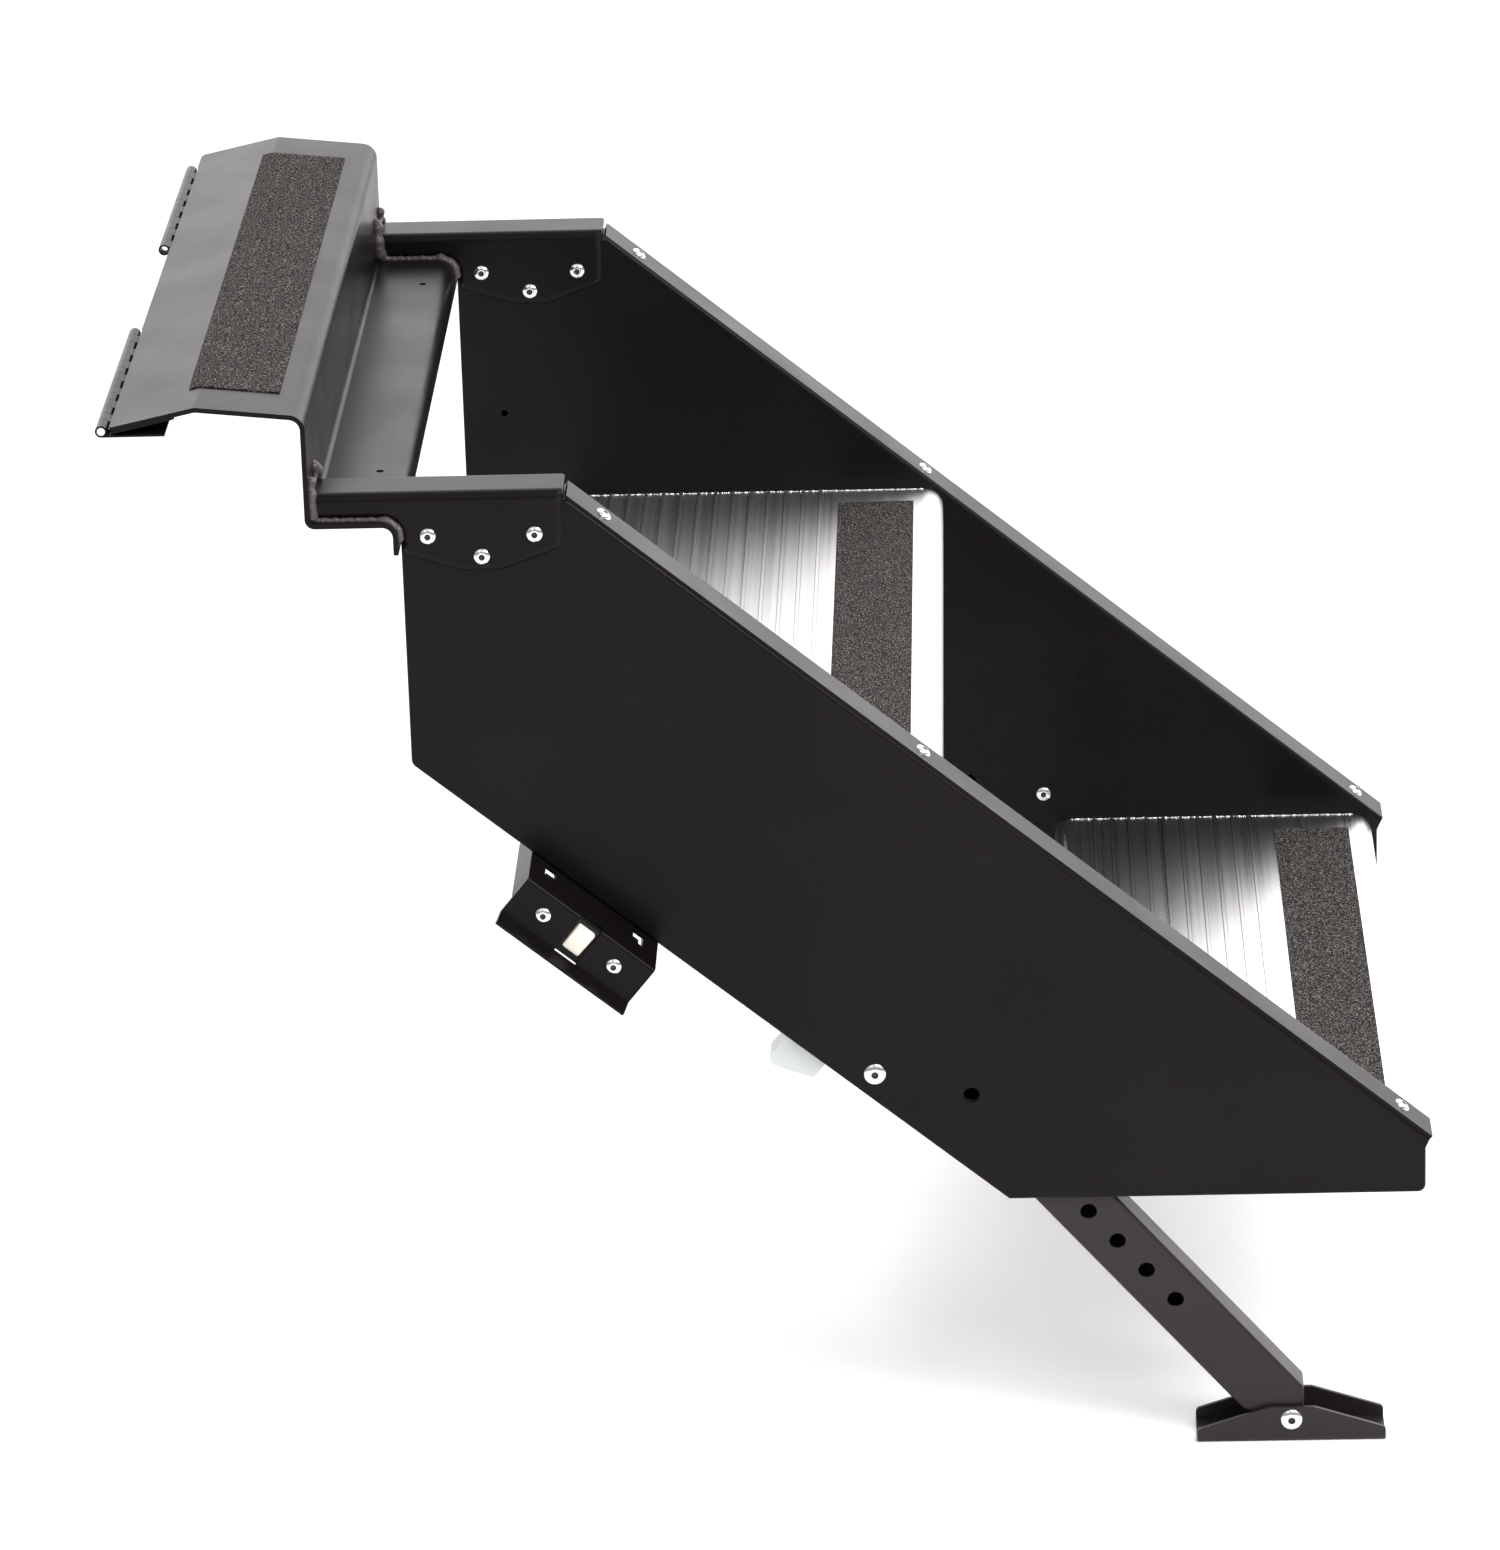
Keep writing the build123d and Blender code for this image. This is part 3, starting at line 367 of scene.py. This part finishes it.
# Foot pivots, a headed rivet on each side of the foot
footPivot = {"headHeight": 0.0024, "barRadius": 0.004, "barInset": 0.0026, "segments": 40}
for side in ("near", "far"):
    low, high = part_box("foot_rivet_" + side)
    middleX = (low.x + high.x) / 2
    middleZ = (low.z + high.z) / 2
    heads = [
        makeRivet(largeRivet, (outward, 0, 0), (middleX, low.y + footPivot["headHeight"], middleZ)),
        makeRivet(largeRivet, (-outward, 0, 0), (middleX, high.y - footPivot["headHeight"], middleZ)),
    ]
    deselect()
    bpy.ops.mesh.primitive_cylinder_add(vertices=footPivot["segments"], radius=footPivot["barRadius"],
                                        depth=high.y - low.y - 2 * footPivot["barInset"],
                                        location=(middleX, (low.y + high.y) / 2, middleZ),
                                        rotation=(outward, 0, 0))
    bpy.ops.object.shade_smooth_by_angle(angle=math.radians(50))
    bpy.context.object.data.materials.append(zincPlate)
    heads.append(bpy.context.object)
    pivot = joinPieces(heads, "foot_pivot_" + side)
    finish(pivot, None, "foot_" + side)
    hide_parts("foot_rivet_" + side)
print("foot pivots made")

# Latch tongue with its near lower edge set back as a lead-in
tongueLow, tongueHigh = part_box("latch_tongue")
tongue = {"half": (0.00615, 0.018, 0.009), "along": (0.7718, -0.6358), "bevel": 0.0012, "lead": 0.002}
deselect()
bpy.ops.mesh.primitive_cube_add(size=2)
tonguePiece = bpy.context.object
tonguePiece.scale = tongue["half"]
bpy.ops.object.transform_apply(scale=True)
bevel = tonguePiece.modifiers.new("round", "BEVEL")
bevel.width = tongue["bevel"]
bevel.segments = 3
bpy.ops.object.modifier_apply(modifier="round")
bpy.ops.object.mode_set(mode="EDIT")
bpy.ops.mesh.select_mode(type="VERT")
bpy.ops.mesh.select_all(action="DESELECT")
bpy.ops.object.mode_set(mode="OBJECT")
for point in tonguePiece.data.vertices:
    point.select = point.co.y < 0 and point.co.z < 0
bpy.ops.object.mode_set(mode="EDIT")
bpy.ops.transform.translate(value=(0, tongue["lead"], 0))
bpy.ops.object.mode_set(mode="OBJECT")
tonguePiece.rotation_euler = (0, math.atan2(-tongue["along"][1], tongue["along"][0]), 0)
tonguePiece.location = (tongueLow + tongueHigh) / 2
bpy.ops.object.shade_smooth_by_angle(angle=math.radians(40))
tonguePiece = joinPieces([tonguePiece], "tongue_round")
finish(tonguePiece, ivoryPlastic, "latch")
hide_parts("latch_tongue")
print("tongue made")

# Raw bright edge where each tread comes through the inner skins, as a row of crumbs
seamShape = {"rearInset": 0.012, "frontInset": 0.013, "place": 0.2592, "lift": 0.0001, "stretch": 1.9,
             "size": 0.00055, "sizeWaves": (0.00025, 0.0002), "pitch": 0.0011, "pitchWave": 0.0006}
treadCorner = {"upper": (0.2455, 0.4980, -0.2276), "lower": (0.5700, 0.7875, -0.4691)}
for tread, (rear, front, top) in treadCorner.items():
    crumbs = []
    for sign in (-1, 1):
        x = rear + seamShape["rearInset"]
        index = 0
        while x < front - seamShape["frontInset"]:
            index += 1
            slowWave, fastWave = seamShape["sizeWaves"]
            size = seamShape["size"] + slowWave * math.sin(index * 2.3) + fastWave * math.sin(index * 5.1)
            deselect()
            bpy.ops.mesh.primitive_ico_sphere_add(
                subdivisions=1, radius=size, location=(x, sign * seamShape["place"], top + seamShape["lift"]))
            bpy.context.object.scale = (seamShape["stretch"], 1, 1)
            crumbs.append(bpy.context.object)
            x += seamShape["pitch"] + seamShape["pitchWave"] * math.sin(index * 1.3) ** 2
    seam = joinPieces(crumbs, tread + "_seam")
    bpy.ops.object.shade_smooth()
    finish(seam, zincPlate, "step")
print("seams made")

# Weld beads at the arms, as rows of drops melted into one skin
# Each row gives the path of the near bead and its radius
beads = {
    "wallOutside": {"path": [(0.1226, -0.2900, -0.0340), (0.1230, -0.2936, -0.0410), (0.1232, -0.2944, -0.0500),
                             (0.1240, -0.2942, -0.0565)], "radius": 0.0034},
    "wallTop": {"path": [(0.1230, -0.2900, -0.0385), (0.1230, -0.2880, -0.0392), (0.1230, -0.2640, -0.0392),
                         (0.1230, -0.2600, -0.0385)], "radius": 0.0018},
    "wallInside": {"path": [(0.1226, -0.2600, -0.0340), (0.1236, -0.2570, -0.0420), (0.1240, -0.2560, -0.0500),
                            (0.1262, -0.2556, -0.0562)], "radius": 0.0044},
    "shelfOutside": {"path": [(0.1250, -0.2942, -0.0568), (0.1400, -0.2940, -0.0572),
                              (0.1560, -0.2940, -0.0572), (0.1650, -0.2940, -0.0574)], "radius": 0.0020},
    "shelfInside": {"path": [(0.1262, -0.2560, -0.0568), (0.1400, -0.2564, -0.0572), (0.1560, -0.2564, -0.0572),
                             (0.1650, -0.2564, -0.0574)], "radius": 0.0022},
    "lipOutside": {"path": [(0.1650, -0.2940, -0.0576), (0.1708, -0.2942, -0.0594), (0.1746, -0.2944, -0.0640),
                            (0.1754, -0.2940, -0.0710)], "radius": 0.0030},
    "lipInside": {"path": [(0.1650, -0.2564, -0.0576), (0.1708, -0.2560, -0.0594), (0.1746, -0.2558, -0.0640),
                           (0.1754, -0.2560, -0.0710)], "radius": 0.0034},
}


weldSkin = {"voxel": 0.00055, "factor": 0.5, "iterations": 14}


def beadDrops(bead, sign, seed):
    drops = []
    path = [Vector((x, y * -sign, z)) for x, y, z in bead["path"]]
    count = 0
    for start, end in zip(path, path[1:]):
        steps = max(1, round((end - start).length / (bead["radius"] * 0.7)))
        for step in range(steps):
            count += 1
            swell = 1 + 0.1 * math.sin(count * 2.1 + seed)
            drift = Vector((math.sin(count * 1.7 + seed), math.sin(count * 2.9 + seed),
                            math.cos(count * 1.3 + seed)))
            deselect()
            bpy.ops.mesh.primitive_ico_sphere_add(
                subdivisions=2, radius=bead["radius"] * swell,
                location=start.lerp(end, step / steps) + drift * bead["radius"] * 0.1)
            drops.append(bpy.context.object)
    return drops


for side, sign in (("near", 1), ("far", -1)):
    drops = []
    for seed, bead in enumerate(beads.values()):
        drops += beadDrops(bead, sign, seed * 1.9)
    weld = joinPieces(drops, "weld_" + side)
    remesh = weld.modifiers.new("melt", "REMESH")
    remesh.mode = "VOXEL"
    remesh.voxel_size = weldSkin["voxel"]
    bpy.ops.object.modifier_apply(modifier="melt")
    smooth = weld.modifiers.new("smooth", "SMOOTH")
    smooth.factor = weldSkin["factor"]
    smooth.iterations = weldSkin["iterations"]
    bpy.ops.object.modifier_apply(modifier="smooth")
    bpy.ops.object.shade_smooth()
    finish(weld, weldCoat, "step")
    print("weld", side, len(weld.data.polygons), "faces")

# Floor, light and surroundings
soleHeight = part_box("foot_near")[0].z
bpy.ops.mesh.primitive_plane_add(size=30, location=(0, 0, soleHeight))
floor = bpy.context.object
floor.name = "floor"
floorPaint, tree, shader = newMaterial("floorPaint", linear("#f7f7f7"), 0.9, specular=0.0)
tree.links.new(colorRamp(tree, objectNoise(tree, 2, 2), [(0.3, linear("#f6f6f6")), (0.7, linear("#f9f9f9"))]),
               shader.inputs["Base Color"])
floor.data.materials.append(floorPaint)


def softLight(name, place, target, size, power):
    data = bpy.data.lights.new(name, "AREA")
    data.shape = "RECTANGLE"
    data.size, data.size_y = size
    data.energy = power
    light = bpy.data.objects.new(name, data)
    light.location = place
    light.rotation_euler = (Vector(target) - Vector(place)).to_track_quat("-Z", "Y").to_euler()
    scene.collection.objects.link(light)


middle = (0.42, 0, -0.3)
lights = {
    "keyRight": {"place": (2.2, -0.9, 1.7), "target": middle, "size": (1.4, 1.4), "power": 30},
    "lowFront": {"place": (1.1, -1.0, 0.9), "target": (1.0, -0.8, -0.62), "size": (0.9, 0.6), "power": 18},
    "frontLeft": {"place": (-1.2, -3.4, 2.4), "target": middle, "size": (0.5, 0.8), "power": 12},
    "frontRight": {"place": (1.4, -3.4, 2.4), "target": middle, "size": (0.5, 0.8), "power": 20},
}
for name, light in lights.items():
    softLight(name, **light)

world = bpy.data.worlds.new("studio")
scene.world = world
world.use_nodes = True
tree = world.node_tree
background = tree.nodes["Background"]
direction = tree.nodes.new("ShaderNodeTexCoord")
split = tree.nodes.new("ShaderNodeSeparateXYZ")
tree.links.new(direction.outputs["Generated"], split.inputs["Vector"])
backGlow = remap(tree, split.outputs["Y"], -0.1, 0.6, 0.3, 2.4)  # bright behind, for the tops
topGlow = remap(tree, split.outputs["Z"], 0.1, 0.7, 0.3, 0.8)
glow = tree.nodes.new("ShaderNodeMath")
glow.operation = "MAXIMUM"
tree.links.new(backGlow, glow.inputs[0])
tree.links.new(topGlow, glow.inputs[1])
tree.links.new(glow.outputs["Value"], background.inputs["Strength"])
background.inputs["Color"].default_value = (1, 0.97, 0.97, 1)
print("stage lit")
